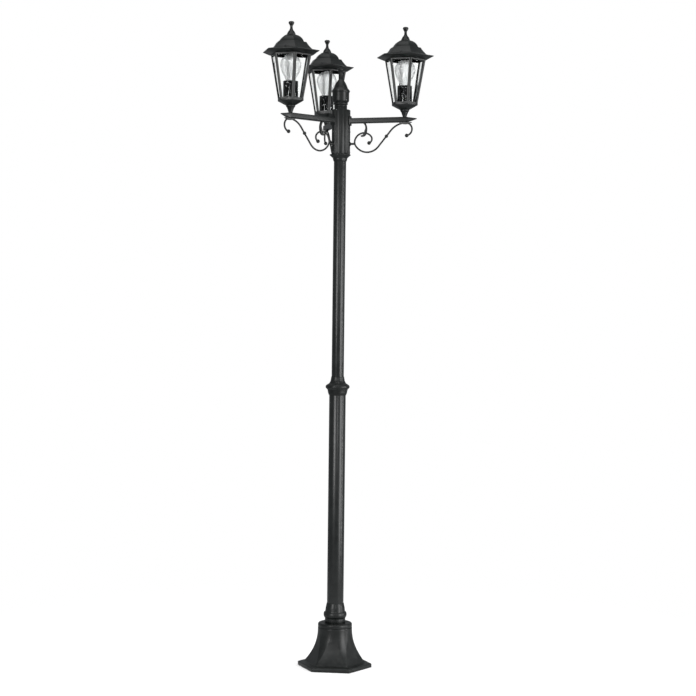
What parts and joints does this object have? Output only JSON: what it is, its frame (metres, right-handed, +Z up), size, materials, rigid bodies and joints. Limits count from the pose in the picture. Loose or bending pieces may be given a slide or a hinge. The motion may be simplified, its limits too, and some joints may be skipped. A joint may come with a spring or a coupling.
{
  "type": "garden lamp post",
  "caption": "Post of stacked tubes on a flared hexagonal base, with scrolled arms that carry six-sided glazed lanterns with lift-off roofs and screw-in bulbs.",
  "frame": {"origin": "centre of the base's underside on the ground, on the post's axis", "axes": "+Z up along the post; the rear arm points along +Y, and the front is -Y"},
  "size_m": [0.4968, 0.4738, 1.9224],
  "materials": {
    "black_paint": "satin",
    "dark_steel": "satin",
    "zinc_steel": "satin",
    "clear_glass": "gloss",
    "black_plastic": "satin",
    "cap_metal": "satin"
  },
  "bodies": {
    "post": {"ground_plate": "zinc_steel", "tie_rod": "zinc_steel", "tie_rod_nuts": "zinc_steel", "terminal_block": "black_plastic", "base_casting": "black_paint", "base_collar": "black_paint", "lower_tube": "black_paint", "mid_ring": "black_paint", "mid_ring_screw": "dark_steel", "upper_tube": "black_paint", "hub_collar": "black_paint", "hub_casting": "black_paint", "pole_cap": "black_paint", "cap_screw": "dark_steel", "pole_finial": "black_paint", "arm_right": "black_paint", "scroll_right": "black_paint", "scroll_leaf_right": "black_paint", "hub_screws_right": "dark_steel", "lantern_foot_right": "black_paint", "lantern_cage_right": "black_paint", "panes_right": "clear_glass", "nipple_right": "zinc_steel", "holder_sleeve_right": "black_plastic", "lampholder_right": "black_plastic", "arm_left": "black_paint", "scroll_left": "black_paint", "scroll_leaf_left": "black_paint", "hub_screws_left": "dark_steel", "lantern_foot_left": "black_paint", "lantern_cage_left": "black_paint", "panes_left": "clear_glass", "nipple_left": "zinc_steel", "holder_sleeve_left": "black_plastic", "lampholder_left": "black_plastic", "arm_rear": "black_paint", "scroll_rear": "black_paint", "scroll_leaf_rear": "black_paint", "hub_screws_rear": "dark_steel", "lantern_foot_rear": "black_paint", "lantern_cage_rear": "black_paint", "panes_rear": "clear_glass", "nipple_rear": "zinc_steel", "holder_sleeve_rear": "black_plastic", "lampholder_rear": "black_plastic"},
    "roof_right": {"lantern_roof_right": "black_paint", "roof_finial_right": "black_paint", "roof_screws_right": "dark_steel"},
    "roof_left": {"lantern_roof_left": "black_paint", "roof_finial_left": "black_paint", "roof_screws_left": "dark_steel"},
    "roof_rear": {"lantern_roof_rear": "black_paint", "roof_finial_rear": "black_paint", "roof_screws_rear": "dark_steel"},
    "bulb_right": {"bulb_glass_right": "clear_glass", "bulb_cap_right": "cap_metal"},
    "bulb_left": {"bulb_glass_left": "clear_glass", "bulb_cap_left": "cap_metal"},
    "bulb_rear": {"bulb_glass_rear": "clear_glass", "bulb_cap_rear": "cap_metal"}
  },
  "joints": [
    {"name": "roof_right_lift", "type": "slide", "parent": "post", "child": "roof_right", "axis": [0, 0, 1], "range_m": [0, 0.16]},
    {"name": "roof_left_lift", "type": "slide", "parent": "post", "child": "roof_left", "axis": [0, 0, 1], "range_m": [0, 0.16]},
    {"name": "roof_rear_lift", "type": "slide", "parent": "post", "child": "roof_rear", "axis": [0, 0, 1], "range_m": [0, 0.16]},
    {"name": "bulb_right_unscrew", "type": "slide", "parent": "post", "child": "bulb_right", "axis": [0, 0, 1], "range_m": [0, 0.026]},
    {"name": "bulb_left_unscrew", "type": "slide", "parent": "post", "child": "bulb_left", "axis": [0, 0, 1], "range_m": [0, 0.026]},
    {"name": "bulb_rear_unscrew", "type": "slide", "parent": "post", "child": "bulb_rear", "axis": [0, 0, 1], "range_m": [0, 0.026]}
  ]
}
